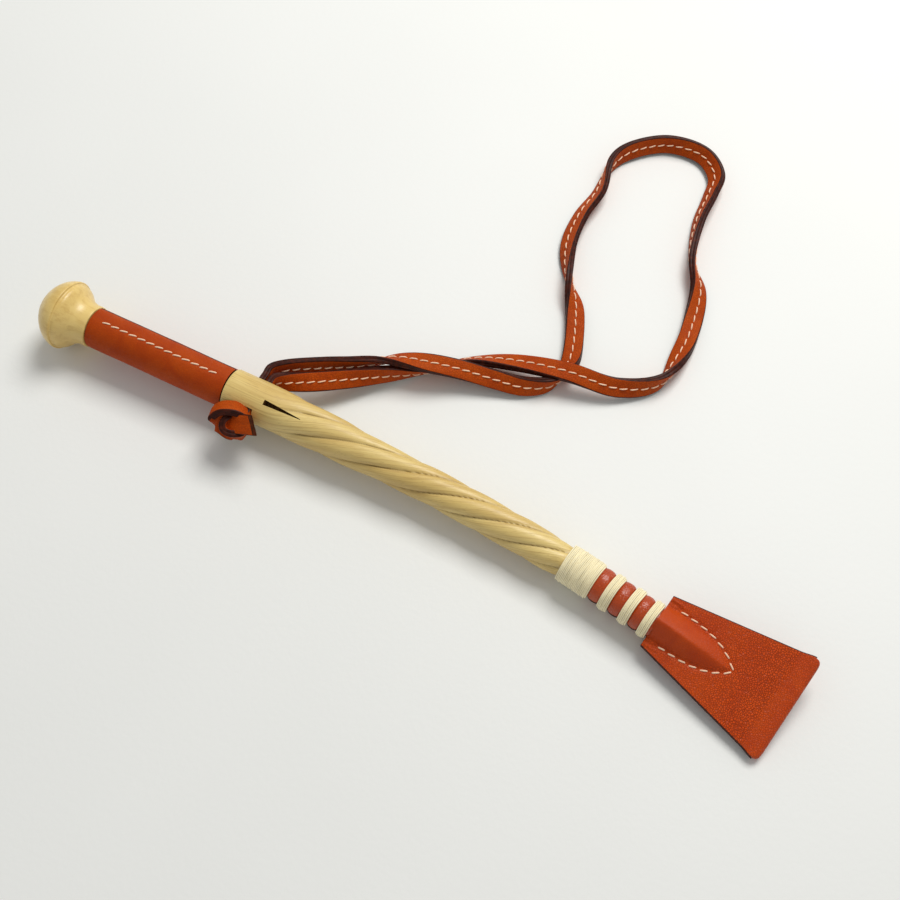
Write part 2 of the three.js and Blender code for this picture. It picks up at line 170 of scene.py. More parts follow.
class Form:
    """Points and faces gathered bit by bit; each face keeps the number of its material."""

    def __init__(self):
        self.points = []
        self.faces = []
        self.slots = []
        self.count = 0

    def add(self, points, faces, slots):
        points = np.asarray(points, float).reshape(-1, 3)
        self.points.append(points)
        self.faces += [tuple(i + self.count for i in face) for face in faces]
        self.slots += list(slots)
        self.count += len(points)

    def loft(self, rings, slots=0, caps=(None, None), looped=False):
        """Skins closed rings of points. slots: one material number, or one per column of faces.
        caps: material numbers of the two ends, or None. looped joins the last ring to the first."""
        rings = np.asarray(rings, float)
        n, m = rings.shape[:2]
        columns = [slots] * m if isinstance(slots, int) else list(slots)
        points = rings.reshape(-1, 3)
        faces, numbers = [], []
        for i in range(n if looped else n - 1):
            a, b = i * m, ((i + 1) % n) * m
            for j in range(m):
                k = (j + 1) % m
                faces.append((a + j, b + j, b + k, a + k))
                numbers.append(columns[j])
        if not looped:
            for cap, ring in zip(caps, (0, n - 1)):
                if cap is None:
                    continue
                centre = len(points)
                points = np.vstack([points, rings[ring].mean(0)])
                for j in range(m):
                    k = (j + 1) % m
                    pair = (ring * m + j, ring * m + k)
                    faces.append((centre, *(pair if ring == 0 else pair[::-1])))
                    numbers.append(cap)
        self.add(points, faces, numbers)
        return self

    def array(self):
        return np.vstack(self.points)

    def mesh_object(self, name, materials, points=None, attributes=None):
        mesh = bpy.data.meshes.new(name)
        points = self.array() if points is None else points
        mesh.from_pydata(points.tolist(), [], self.faces)
        mesh.polygons.foreach_set("use_smooth", [True] * len(mesh.polygons))
        for m in materials:
            mesh.materials.append(m)
        mesh.polygons.foreach_set("material_index", self.slots)
        for key, values in (attributes or {}).items():
            give_attribute(mesh, key, values)
        mesh.validate()
        obj = bpy.data.objects.new(name, mesh)
        bpy.context.scene.collection.objects.link(obj)
        mesh.set_sharp_from_angle(angle=math.radians(50))
        return obj


def give_attribute(mesh, name, values):
    values = np.asarray(values, np.float32)
    kind, key = ("FLOAT_VECTOR", "vector") if values.ndim == 2 else ("FLOAT", "value")
    attribute = mesh.attributes.new(name, kind, "POINT")
    attribute.data.foreach_set(key, values.ravel())


def polar(s, radius, angle):
    """Straight-drawn points at distances s and angles round the axis, broadcast together."""
    s, radius, angle = np.broadcast_arrays(s, radius, angle)
    return np.stack([s, radius * np.cos(angle), radius * np.sin(angle)], -1)


def bump_noise(x, seed, period):
    """A smooth repeatable wobble between -1 and 1 along x."""
    phases = np.random.default_rng(seed).uniform(0, 2 * math.pi, 4)
    x = np.asarray(x, float) * 2 * math.pi / period
    waves = [np.sin(x * k + p) / k for k, p in zip((1, 1.7, 2.9, 4.3), phases)]
    return sum(waves) / 1.6


def curve_points(points, per_span=16):
    """A centripetal Catmull-Rom curve through points; further columns go along with the first 3."""
    p = np.asarray(points, float)
    p = np.vstack([2 * p[0] - p[1], p, 2 * p[-1] - p[-2]])
    out = []
    u = np.linspace(0, 1, per_span, endpoint=False)[:, None]
    for i in range(1, len(p) - 2):
        a, b, c, d = p[i - 1:i + 3]
        k0, k1, k2 = (max(np.linalg.norm((q - r)[:3]) ** 0.5, 1e-6)
                      for q, r in ((b, a), (c, b), (d, c)))
        t1 = ((b - a) / k0 - (c - a) / (k0 + k1) + (c - b) / k1) * k1
        t2 = ((c - b) / k1 - (d - b) / (k1 + k2) + (d - c) / k2) * k1
        out.append(b + t1 * u + (-3 * b + 3 * c - 2 * t1 - t2) * u ** 2
                   + (2 * b - 2 * c + t1 + t2) * u ** 3)
    out.append(p[-2][None])
    return np.vstack(out)


def lengths(points):
    return np.concatenate([[0], np.cumsum(np.linalg.norm(np.diff(points[:, :3], axis=0), axis=1))])


def resample(points, spacing):
    run = lengths(points)
    count = max(2, int(round(run[-1] / spacing)) + 1)
    at = np.linspace(0, run[-1], count)
    return np.stack([np.interp(at, run, points[:, k]) for k in range(points.shape[1])], 1)


def unit(v):
    return v / np.maximum(np.linalg.norm(v, axis=-1, keepdims=True), 1e-12)


def stitch(form, line, radius=STITCH_RADIUS, slot=0, sides=8):
    """One stitch of thread as a tube along a short line of points, thinner at its two ends."""
    line = np.asarray(line, float)
    along = unit(np.gradient(line, axis=0))
    side = unit(np.cross(along, [0.31, 0.17, 0.93]))
    other = np.cross(along, side)
    t = np.linspace(-1, 1, len(line))
    r = radius * (1 - 0.45 * np.abs(t) ** 5)
    angle = np.arange(sides) * 2 * math.pi / sides
    rings = (line[:, None] + r[:, None, None] * (np.cos(angle)[None, :, None] * side[:, None]
             + np.sin(angle)[None, :, None] * other[:, None]))
    form.loft(rings, slot, caps=(slot, slot))


def stitch_line(place, run, across, out, length, slant, dive=0.00022, rise=0.00012, steps=9):
    """Points of one stitch that lies on a surface and dives into it at both ends."""
    t = np.linspace(-1, 1, steps)[:, None]
    height = rise - (rise + dive) * np.abs(t) ** 4
    return (place + run * t * length / 2 * math.cos(slant)
            + across * t * length / 2 * math.sin(slant) + out * height)


# Materials -------------------------------------------------------------------------------------

class Look:
    """A node material under construction: a Principled shader and short ways to feed it."""

    def __init__(self, name, roughness, coat=0.0, specular=0.5, sheen=0.0):
        self.material = bpy.data.materials.new(name)
        self.material.use_nodes = True
        self.tree = self.material.node_tree
        self.shader = self.tree.nodes["Principled BSDF"]
        self.shader.inputs["Roughness"].default_value = roughness
        self.shader.inputs["Coat Weight"].default_value = coat
        self.shader.inputs["Coat Roughness"].default_value = 0.25
        self.shader.inputs["Specular IOR Level"].default_value = specular
        self.shader.inputs["Sheen Weight"].default_value = sheen
        self.bump = None

    def node(self, kind, **values):
        node = self.tree.nodes.new(kind)
        for key, value in values.items():
            if key in node.inputs:
                self.feed(node.inputs[key], value)
            else:
                setattr(node, key, value)
        return node

    def feed(self, socket, value):
        if isinstance(value, bpy.types.NodeSocket):
            self.tree.links.new(value, socket)
        else:
            socket.default_value = value

    def place(self, attribute=None):
        """The surface point in metres: the object's own, or one kept in a mesh attribute."""
        if attribute:
            return self.node("ShaderNodeAttribute", attribute_name=attribute).outputs["Vector"]
        return self.node("ShaderNodeTexCoord").outputs["Object"]

    def scaled(self, place, scale):
        node = self.node("ShaderNodeMapping", Vector=place)
        node.inputs["Scale"].default_value = scale
        return node.outputs["Vector"]

    def noise(self, place, size, detail=3.0, distortion=0.0):
        node = self.node("ShaderNodeTexNoise", Vector=place, Detail=detail, Distortion=distortion)
        node.inputs["Scale"].default_value = 1 / size
        return node.outputs["Fac"]

    def cells(self, place, size, feature="DISTANCE_TO_EDGE"):
        node = self.node("ShaderNodeTexVoronoi", Vector=place, feature=feature)
        node.inputs["Scale"].default_value = 1 / size
        return node.outputs["Distance"]

    def math(self, operation, a, b=0.0):
        node = self.node("ShaderNodeMath", operation=operation)
        self.feed(node.inputs[0], a)
        self.feed(node.inputs[1], b)
        return node.outputs[0]

    def span(self, value, low, high, out_low=0.0, out_high=1.0):
        node = self.node("ShaderNodeMapRange", Value=value, interpolation_type="SMOOTHSTEP")
        for key, number in zip(("From Min", "From Max", "To Min", "To Max"),
                               (low, high, out_low, out_high)):
            node.inputs[key].default_value = number
        return node.outputs["Result"]

    def attribute(self, name):
        return self.node("ShaderNodeAttribute", attribute_name=name).outputs["Fac"]

    def mix(self, share, a, b):
        node = self.node("ShaderNodeMix", data_type="RGBA")
        for socket, value in ((node.inputs[0], share), (node.inputs[6], a), (node.inputs[7], b)):
            self.feed(socket, value)
        return node.outputs[2]

    def add_bump(self, height, depth, strength=1.0):
        """Height 0 to 1 becomes relief of the given depth; a second call goes over the first."""
        node = self.node("ShaderNodeBump", Height=height)
        node.inputs["Distance"].default_value = depth
        node.inputs["Strength"].default_value = strength
        if self.bump:
            self.feed(node.inputs["Normal"], self.bump)
        self.bump = node.outputs["Normal"]
        self.feed(self.shader.inputs["Normal"], self.bump)

    def finish(self, colour, roughness=None):
        self.feed(self.shader.inputs["Base Color"], colour)
        if roughness is not None:
            self.feed(self.shader.inputs["Roughness"], roughness)
        return self.material


def colour(r, g, b):
    """A colour given as it looks on screen, 0 to 255, as linear light."""
    def linear(v):
        v /= 255
        return v / 12.92 if v <= 0.04045 else ((v + 0.055) / 1.055) ** 2.4
    return (linear(r), linear(g), linear(b), 1.0)


# Painted shade: leather with weak grain darkens towards its crease colour. On the flap's smooth pocket
# and fold this stands in for shade; on the tongues, whose grain is even, it darkens their tone all
# over.
SMOOTH_SHADE = 0.42  # how far leather without grain goes towards its crease colour


def leather(name, tones, grain_size, grain_depth, creases, gloss, grain_attribute=None):
    """tones: crease, dark and light colour. creases: how far the grain's valleys darken, 0 to 1.
    gloss: specular level and the roughness at its shiniest. grain_attribute: the mesh attribute that
    says how strong the grain is; where the grain is weak, the leather takes painted shade towards its
    crease colour."""
    specular, shine = gloss
    look = Look(name, roughness=shine, specular=specular)
    place = look.place()
    warped = look.node("ShaderNodeVectorMath", operation="MULTIPLY_ADD")
    wobble = look.node("ShaderNodeTexNoise", Vector=place)
    wobble.inputs["Scale"].default_value = 1 / (grain_size * 2.5)
    look.feed(warped.inputs[0], wobble.outputs["Color"])
    warped.inputs[1].default_value = (grain_size * 1.1,) * 3
    look.feed(warped.inputs[2], place)
    pebble = look.span(look.cells(warped.outputs[0], grain_size), 0.0, 0.2)
    valley = look.math("SUBTRACT", 1.0, pebble)
    crease_and_shade = look.math("MULTIPLY", valley, creases)
    if grain_attribute:
        strength = look.attribute(grain_attribute)
        pebble = look.math("MULTIPLY", pebble, strength)
        crease_and_shade = look.math("MULTIPLY", crease_and_shade, strength)
        # painted shade where the grain is weak
        smooth = look.math("SUBTRACT", 1.0, strength)
        crease_and_shade = look.math("ADD", crease_and_shade, look.math("MULTIPLY", smooth, SMOOTH_SHADE))
    pores = look.noise(place, grain_size * 0.45, detail=4.0)
    swirl = look.noise(place, 0.007, detail=4.0, distortion=0.6)
    mottled = look.mix(look.span(swirl, 0.28, 0.74), tones[1], tones[2])
    creased_and_shaded = look.mix(crease_and_shade, mottled, tones[0])
    rubbed = look.span(look.noise(place, 0.0022, detail=3.0), 0.3, 0.75, shine, shine + 0.14)
    look.add_bump(look.noise(place, 0.004, detail=2.0), 0.00008)
    look.add_bump(pebble, grain_depth)
    look.add_bump(pores, grain_depth * 0.12)
    return look.finish(creased_and_shaded, rubbed)


def edge_paint():
    look = Look("edge_paint", roughness=0.42, specular=0.14)
    place = look.place()
    streak = look.noise(place, 0.0012, detail=4.0)
    look.add_bump(look.noise(place, 0.0005, detail=3.0), 0.00006)
    tone = look.mix(look.span(streak, 0.35, 0.75), colour(46, 15, 8), colour(76, 28, 13))
    return look.finish(tone)


def cane():
    look = Look("cane", roughness=0.42, coat=0.18)
    place = look.place("fibre")
    groove = look.attribute("groove")
    long_lines = look.noise(look.scaled(place, (60, 2600, 2600)), 1.0, detail=3.0)
    fine_lines = look.noise(look.scaled(place, (200, 7000, 7000)), 1.0, detail=2.0)
    patches = look.noise(look.scaled(place, (45, 160, 160)), 1.0, detail=3.0)
    pores = look.noise(look.scaled(place, (420, 6500, 6500)), 1.0, detail=1.0)
    pale = look.mix(look.span(patches, 0.3, 0.7), colour(228, 202, 128), colour(212, 180, 104))
    lined = look.mix(look.span(long_lines, 0.44, 0.68, 0.0, 0.5), pale, colour(184, 148, 80))
    dotted = look.mix(look.span(pores, 0.66, 0.74, 0.0, 0.5), lined, colour(140, 104, 56))
    # Painted shade in the grooves between the strands.
    dark = look.mix(look.math("MULTIPLY", groove, 0.9), dotted, colour(92, 62, 26))
    look.add_bump(fine_lines, 0.00005)
    look.add_bump(long_lines, 0.00009)
    return look.finish(dark, look.span(fine_lines, 0.3, 0.7, 0.34, 0.5))


def turned_wood():
    look = Look("turned_wood", roughness=0.36, coat=0.18)
    place = look.place()
    grain = look.noise(look.scaled(place, (90, 900, 900)), 1.0, detail=4.0, distortion=0.4)
    clouds = look.noise(place, 0.009, detail=3.0)
    flecks = look.noise(look.scaled(place, (700, 5000, 5000)), 1.0, detail=2.0)
    base = look.mix(look.span(clouds, 0.3, 0.7), colour(232, 202, 126), colour(218, 184, 104))
    lined = look.mix(look.span(grain, 0.45, 0.7, 0.0, 0.45), base, colour(198, 160, 86))
    flecked = look.mix(look.span(flecks, 0.62, 0.75, 0.0, 0.45), lined, colour(178, 140, 72))
    look.add_bump(flecks, 0.00003)
    return look.finish(flecked, look.span(clouds, 0.2, 0.8, 0.3, 0.42))


def thread(name, light, shade, twist_size, turns=False):
    """Waxed thread: the plies' slanting twist and some stray fibres. turns: the mesh attribute
    "groove" paints shade into the gaps between neighbouring turns."""
    look = Look(name, roughness=0.55, sheen=0.3, specular=0.4)
    place = look.place()
    plies = look.noise(look.scaled(place, (1.6, 1.0, 0.5)), twist_size, detail=2.0, distortion=0.5)
    fibres = look.noise(place, twist_size * 0.35, detail=3.0)
    look.add_bump(plies, twist_size * 0.22)
    look.add_bump(fibres, twist_size * 0.1)
    tone = look.mix(look.span(plies, 0.3, 0.7), shade, light)
    if turns:
        # painted shade in the gaps between turns
        tone = look.mix(look.attribute("groove"), tone, colour(178, 160, 114))
    return look.finish(tone)


def sawn_wood():
    """The dark inside of the saw kerf."""
    look = Look("sawn_wood", roughness=0.7, specular=0.1)
    place = look.place()
    scratches = look.noise(look.scaled(place, (2600, 600, 2600)), 1.0, detail=3.0)
    look.add_bump(scratches, 0.00008)
    tone = look.mix(look.span(scratches, 0.3, 0.7), colour(104, 70, 34), colour(150, 110, 60))
    return look.finish(tone)


FLAP_LEATHER = leather(
    "flap_leather", (colour(122, 38, 3), colour(202, 68, 2), colour(216, 80, 4)),
    grain_size=0.00052, grain_depth=0.00014, creases=0.6, gloss=(0.24, 0.4),
    grain_attribute="grain")
TONGUE_LEATHER = leather(
    "tongue_leather", (colour(118, 36, 4), colour(186, 64, 4), colour(200, 76, 6)),
    grain_size=0.0006, grain_depth=0.00006, creases=0.4, gloss=(0.5, 0.22),
    grain_attribute="grain")
STRAP_LEATHER = leather(
    "strap_leather", (colour(110, 34, 5), colour(172, 64, 5), colour(188, 78, 8)),
    grain_size=0.00055, grain_depth=0.00006, creases=0.4, gloss=(0.1, 0.48))
GRIP_LEATHER = leather(
    "grip_leather", (colour(124, 38, 5), colour(166, 58, 4), colour(180, 70, 7)),
    grain_size=0.0005, grain_depth=0.00003, creases=0.22, gloss=(0.12, 0.46))
EDGE_PAINT = edge_paint()
CANE = cane()
TURNED_WOOD = turned_wood()
SEWING_THREAD = thread("sewing_thread", colour(255, 226, 196), colour(232, 178, 138), 0.00022)
WHIPPING_TWINE = thread("whipping_twine", colour(255, 246, 208), colour(242, 228, 184), 0.00026, True)
SAWN_WOOD = sawn_wood()


def table_top():
    look = Look("table_top", roughness=0.55, specular=0.25)
    place = look.place()
    clouds = look.noise(place, 0.12, detail=3.0)
    specks = look.noise(place, 0.0016, detail=3.0)
    look.add_bump(specks, 0.00004)
    return look.finish(look.mix(clouds, colour(238, 239, 236), colour(230, 231, 228)))


# Wrist strap -------------------------------------------------------------------------------------

# The loop's route from the slot's far mouth and back, from the axis start: x, y, height, and the
# strap's roll about its run in degrees, 0 when it lies flat and 90 when it stands on edge.
STRAP_ROUTE = [
    (0.0684, 0.0084, 0.0074, 90), (0.0685, 0.0108, 0.0073, 86), (0.0714, 0.0134, 0.0073, 77),
    (0.0807, 0.0192, 0.0069, 73), (0.0867, 0.0227, 0.0068, 84), (0.0927, 0.0267, 0.0070, 108),
    (0.0988, 0.0301, 0.0071, 147), (0.1073, 0.0328, 0.0073, 186), (0.1158, 0.0358, 0.0055, 203),
    (0.1248, 0.0380, 0.0039, 217), (0.1331, 0.0401, 0.0031, 238), (0.1388, 0.0438, 0.0030, 268),
    (0.1412, 0.0490, 0.0030, 305), (0.1410, 0.0550, 0.0021, 342), (0.1355, 0.0701, 0.0019, 376),
    (0.1298, 0.0790, 0.0030, 443), (0.1244, 0.0910, 0.0028, 495), (0.1234, 0.1029, 0.0027, 497),
    (0.1248, 0.1130, 0.0029, 488), (0.1239, 0.1256, 0.0029, 446), (0.1270, 0.1324, 0.0031, 428),
    (0.1370, 0.1405, 0.0031, 428), (0.1486, 0.1412, 0.0029, 413), (0.1552, 0.1352, 0.0028, 408),
    (0.1562, 0.1270, 0.0030, 415), (0.1566, 0.1160, 0.0031, 428), (0.1601, 0.1014, 0.0030, 462),
    (0.1651, 0.0930, 0.0027, 499), (0.1676, 0.0830, 0.0017, 530), (0.1686, 0.0710, 0.0023, 560),
    (0.1666, 0.0582, 0.0030, 633), (0.1570, 0.0510, 0.0037, 672), (0.1424, 0.0479, 0.0060, 706),
    (0.1266, 0.0446, 0.0047, 740), (0.1160, 0.0405, 0.0035, 770), (0.1061, 0.0329, 0.0030, 782),
    (0.0964, 0.0252, 0.0049, 823), (0.0810, 0.0136, 0.0069, 864), (0.0742, 0.0100, 0.0073, 840),
    (0.0708, 0.0084, 0.0074, 810),
]
SLOT_CENTRE = lay([SLOT["s"], 0, 0])
SLOT_TURN = turn("x", SLOT["tilt"])


def in_slot(point):
    """A point of the slot's own frame, whose +y runs through it from the knot to the loop."""
    return SLOT_CENTRE + SLOT_TURN @ np.array(point)


def strap_section():
    """The strap's section: two plies sewn down the middle, and whether each side is painted."""
    w, t, r = STRAP_WIDTH / 2, STRAP_THICKNESS / 2, 0.00034
    across = np.array([1, 0.72, 0.45, 0.24, 0.12, 0, -0.12, -0.24, -0.45, -0.72, -1])
    face = [(u * (w - r), t, False) for u in across]
    side = [(-w + r - r * math.sin(a), t - r + r * math.cos(a), True)
            for a in np.radians([35, 65, 90])]
    side += [(-w + 0.00001, 0.00012, True), (-w + 0.00007, 0.0, True)]
    side += [(u, -v, True) for u, v, _ in side[-2::-1]]
    half = face + side
    points = half + [(-u, -v, painted) for u, v, painted in half]
    return np.array([p[:2] for p in points]), [int(p[2]) for p in points]


def strap_frames(line):
    """Unit run, width and outward vectors of the strap along a line whose 4th column is roll."""
    run = unit(np.gradient(line[:, :3], axis=0))
    level = unit(np.stack([-run[:, 1], run[:, 0], np.zeros(len(run))], 1))
    roll = np.radians(line[:, 3])[:, None]
    width = level * np.cos(roll) + np.cross(run, level) * np.sin(roll)
    return run, width, np.cross(run, width)


def strip(form, line, width, out, holes=None, lean=0.0):
    """Sweeps the strap's section. holes: distances of stitch holes, where the seam sinks in.
    lean: how far the last end is cut on the slant."""
    section, painted = strap_section()
    run = lengths(line)
    groove = np.exp(-((section[:, 0] / 0.00055) ** 2)) * (np.abs(section[:, 1]) > 0.0009)
    depth = np.full(len(line), 0.00010)
    if holes is not None:
        near = np.abs(run[:, None] - holes[None]).min(1)
        depth += 0.00016 * np.exp(-((near / 0.0004) ** 2))
    u = np.broadcast_to(section[:, 0], (len(line), len(section)))
    v = section[None, :, 1] - np.sign(section[None, :, 1]) * groove[None] * depth[:, None]
    slid = lean * u * np.linspace(0, 1, len(line))[:, None]
    rings = line[:, None, :3] + u[..., None] * width[:, None] + v[..., None] * out[:, None]
    rings = rings + slid[..., None] * np.cross(width, out)[:, None]
    form.loft(rings, painted, caps=(1, 1))


def wrist_strap():
    """The strap and its stitching, and the line down its middle."""
    entry = [(*in_slot((-PLY_OFFSET, y, 0)), 90) for y in (0.002, 0.0063)]
    way_back = [(*in_slot((PLY_OFFSET, y, 0)), 810) for y in (0.0063, 0.002)]
    shift = np.array([*CENTRE, 0])
    route = [tuple(np.array(p) - shift) for p in STRAP_ROUTE]
    line = resample(curve_points([*entry, *route, *way_back]), 0.0005)
    _, width, out = strap_frames(line)
    at = lengths(line)
    first, last = 0.0112, at[-1] - 0.0058
    count = int((last - first) / STITCH_PITCH)
    middles = first + STITCH_PITCH * (np.arange(count) + 0.5)
    holes = first + STITCH_PITCH * np.arange(count + 1)
    body = Form()
    strip(body, line, width, out, holes)
    strap = body.mesh_object("wrist_strap", [STRAP_LEATHER, EDGE_PAINT])

    def frame_at(distance):
        return [np.stack([np.interp(distance, at, a[:, k]) for k in range(3)], -1)
                for a in (line, width, out)]

    threads = Form()
    t = np.linspace(-1, 1, 9)
    length, slant = 0.0023, 0.00016
    for side in (1, -1):
        for middle in middles:
            place, across, face = frame_at(middle + t * length / 2)
            height = STRAP_THICKNESS / 2 + 0.00006 - 0.00034 * np.abs(t) ** 4
            span = place + across * (side * slant * t)[:, None] + face * (side * height)[:, None]
            stitch(threads, span, radius=0.0002)
    stitching = threads.mesh_object("wrist_strap_stitching", [SEWING_THREAD])
    return strap, stitching, line[:, :3]


# The knot against the near mouth of the slot. Its frame, in millimetres: u to the right along the
# crop, v up and back over the shaft, w out towards the knot's open front.
KNOT_ORIGIN = np.array([-2.1, -9.9, 0.0])
KNOT_AXES = np.array([[0.897, 0.432, 0.092], [-0.394, 0.688, 0.610], [0.200, -0.583, 0.787]])
# Each strand of the knot: the middle of the strap and the direction of its width, both u, v, w.
OVER_STRAND = [
    (3.6, -0.9, -1.2, 0.0, -0.50, 0.865), (5.0, 0.4, -0.5, 0.0, -0.50, 0.865),
    (4.8, 1.9, 0.5, 0.0, -0.50, 0.865), (2.9, 3.15, 1.2, 0.0, -0.50, 0.865),
    (0.3, 3.6, 1.6, 0.0, -0.50, 0.865), (-1.8, 3.45, 1.5, 0.0, -0.50, 0.865),
    (-3.4, 2.6, 1.1, 0.0, -0.50, 0.865), (-4.25, 1.5, 0.6, 0.03, -0.45, 0.88),
    (-4.1, 0.5, 0.5, 0.25, -0.20, 0.90), (-2.9, 0.1, 0.8, 0.62, 0.50, 0.52),
    (-1.4, -0.7, 0.9, 0.70, 0.68, 0.10), (0.2, -2.0, 0.1, 0.72, 0.69, -0.10),
    (1.4, -2.4, -1.4, 0.72, 0.65, -0.20), (2.0, -2.2, -3.0, 0.75, 0.60, -0.20),
]
ROUND_STRAND = [
    (1.4, 1.3, -1.4, 0.0, 0.0, 1.0), (-0.1, 0.8, -0.2, 0.0, 0.0, 1.0),
    (-1.05, -0.7, 0.35, -0.05, 0.0, 1.0), (-0.9, -2.2, 0.4, -0.05, 0.05, 1.0),
    (0.1, -3.2, 0.4, 0.0, 0.08, 1.0), (1.6, -3.6, 0.3, 0.0, 0.1, 1.0),
    (3.2, -3.5, -0.2, 0.0, 0.1, 1.0), (4.2, -2.8, -1.2, 0.0, 0.0, 1.0),
]
TAIL_STRAND = [
    (-0.1, -0.45, 0.3, 0.08, 1.0, 0.0), (1.6, -0.6, 1.3, 0.08, 1.0, 0.0),
    (3.6, -0.8, 2.5, 0.08, 1.0, 0.0), (7.1, -1.15, 4.3, 0.08, 1.0, 0.0),
]


def knot_strand(form, keys, lean=0.0):
    """One strand of the knot, skinned with the strap's section."""
    keys = np.array(keys)
    in_frame = np.hstack([
        (KNOT_ORIGIN + keys[:, :3] @ KNOT_AXES) * MM, keys[:, 3:] @ KNOT_AXES * MM,
    ])
    line = resample(curve_points(in_frame, 12), 0.00035)
    run = unit(np.gradient(line[:, :3], axis=0))
    width = unit(line[:, 3:] - (line[:, 3:] * run).sum(1, keepdims=True) * run)
    out = np.cross(run, width)
    place = SLOT_CENTRE + line[:, :3] @ SLOT_TURN.T
    strip(form, place, width @ SLOT_TURN.T, out @ SLOT_TURN.T, lean=lean)


def knot():
    """The strap's knot: a strand over the top that turns down the front, one round the tail, the
    tail with its cut end, and the two strands that come out of the slot."""
    form = Form()
    for keys, lean in ((OVER_STRAND, 0.0), (ROUND_STRAND, 0.0), (TAIL_STRAND, -0.42)):
        knot_strand(form, keys, lean)
    upright = SLOT_TURN @ np.array([0, 0, 1.0])
    for x in (-PLY_OFFSET, PLY_OFFSET):
        line = np.array([in_slot((x, y, 0)) for y in np.linspace(0.0019, -0.0074, 12)])
        width = np.broadcast_to(upright, line.shape)
        strip(form, line, width, np.cross(unit(np.gradient(line, axis=0)), width))
    return form.mesh_object("strap_knot_tied", [STRAP_LEATHER, EDGE_PAINT])


# Handle --------------------------------------------------------------------------------------------

def knob():
    profile = curve_points([(s * MM, r * MM, 0) for s, r in (
        (1.0, 0.0), (1.13, 1.6), (1.65, 3.7), (2.5, 5.5), (3.9, 7.35), (5.3, 8.65), (6.7, 9.5),
        (8.1, 10.0), (8.7, 10.1), (9.0, 10.02), (9.12, 9.62), (9.4, 9.42), (9.9, 9.36), (10.4, 9.15),
        (11.1, 8.6), (12.35, 7.4), (13.8, 6.5), (15.3, 6.1), (17.2, 6.02), (17.6, 5.9),
        (17.62, 4.0))], 6)
    angle = np.linspace(0, 2 * math.pi, 96, endpoint=False)
    rings = polar(profile[1:, :1], profile[1:, 1:2], angle[None])
    form = Form().loft(rings, 0, caps=(0, 0))
    return form.mesh_object("knob_turned", [TURNED_WOOD], lay(form.array()))


def grip_radius(angle, s):
    """Outer radius of the sleeve. The outer ply ends at the lap edge and thins away from it."""
    past = np.mod(angle - LAP_EDGE, 2 * math.pi)
    lap = LAP_STEP * (1 - smoothstep(past, 0, LAP_LENGTH * 1.6))
    off_seam = (angle - GRIP_SEAM["angle"]) * GRIP_RADIUS
    in_seam = smoothstep(s, GRIP_SEAM["from"] - 0.002, GRIP_SEAM["from"]) \
        * (1 - smoothstep(s, GRIP_SEAM["to"], GRIP_SEAM["to"] + 0.002))
    return GRIP_RADIUS + lap - 0.00012 * in_seam * np.exp(-((off_seam / 0.0005) ** 2)) \
        + 0.00004 * bump_noise(s + angle * 0.004, 3, 0.03)


def grip_sleeve():
    ply = 0.00022
    stops = [(GRIP_START, ply), (GRIP_START + 0.00007, ply * 0.35)]
    stops += [(s, 0.0) for s in np.arange(GRIP_START + ply, GRIP_END - ply, 0.0005)]
    stops += [(GRIP_END - 0.00007, ply * 0.35), (GRIP_END, ply)]
    around = np.radians(np.arange(0, 359.5, 2.5))
    angle = LAP_EDGE + np.concatenate([[0.0], around[1:], [2 * math.pi - 0.02]])
    rings = [polar(s, grip_radius(angle, s) - inset, angle) for s, inset in stops]
    inner = GRIP_RADIUS - SLEEVE_THICKNESS
    rings = [polar(GRIP_START, inner, angle), *rings, polar(GRIP_END, inner, angle)]
    form = Form().loft(rings, [1, 1] + [0] * (len(angle) - 3) + [1], looped=True)
    columns, rows = len(angle), len(rings)
    for row in (0, rows - 3, rows - 2):
        for j in range(columns):
            form.slots[row * columns + j] = 1
    return form.mesh_object("grip_leather", [GRIP_LEATHER, EDGE_PAINT], lay(form.array()))


def grip_stitches():
    form = Form()
    count = GRIP_SEAM["stitches"]
    pitch = (GRIP_SEAM["to"] - GRIP_SEAM["from"]) / (count - 1)
    angle = GRIP_SEAM["angle"]
    out = np.array([0, math.cos(angle), math.sin(angle)])
    across = np.array([0, -math.sin(angle), math.cos(angle)])
    for k in range(count):
        s = GRIP_SEAM["from"] + k * pitch
        r = GRIP_RADIUS + LAP_STEP * 0.45 - 0.00008
        place = np.array([s, 0, 0]) + out * r
        line = stitch_line(place, np.array([1.0, 0, 0]), across, out, 0.0025, math.radians(-13))
        stitch(form, line)
    return form.mesh_object("grip_stitches", [SEWING_THREAD], lay(form.array()))


# Shaft -----------------------------------------------------------------------------------------------

def twist_at(s):
    total = np.zeros_like(np.asarray(s, float))
    for rate, low, high in TWISTS:
        u = np.clip((s - low) / (high - low), 0, 1)
        total = total + rate * ((high - low) * (u ** 3 - u ** 4 / 2) + np.maximum(0, s - high))
    return total


def groove_share(angle, s):
    """0 on a strand's crown, 1 at the bottom of the groove beside it."""
    phase = (STRANDS / 2) * (angle - FIRST_GROOVE + twist_at(s))
    return 1 - np.abs(np.sin(phase)) ** 0.5


def shaft_radius(s):
    knots = np.array(SHAFT_RADII)
    near = [np.interp(s + d, knots[:, 0], knots[:, 1]) for d in np.linspace(-0.003, 0.003, 7)]
    return sum(near) / len(near)


def strand_depth(s):
    sets_in = smoothstep(s, TWIST_START, TWIST_START + 0.016)
    return GROOVE_DEPTH * sets_in * (1 - smoothstep(s, 0.163, 0.169))


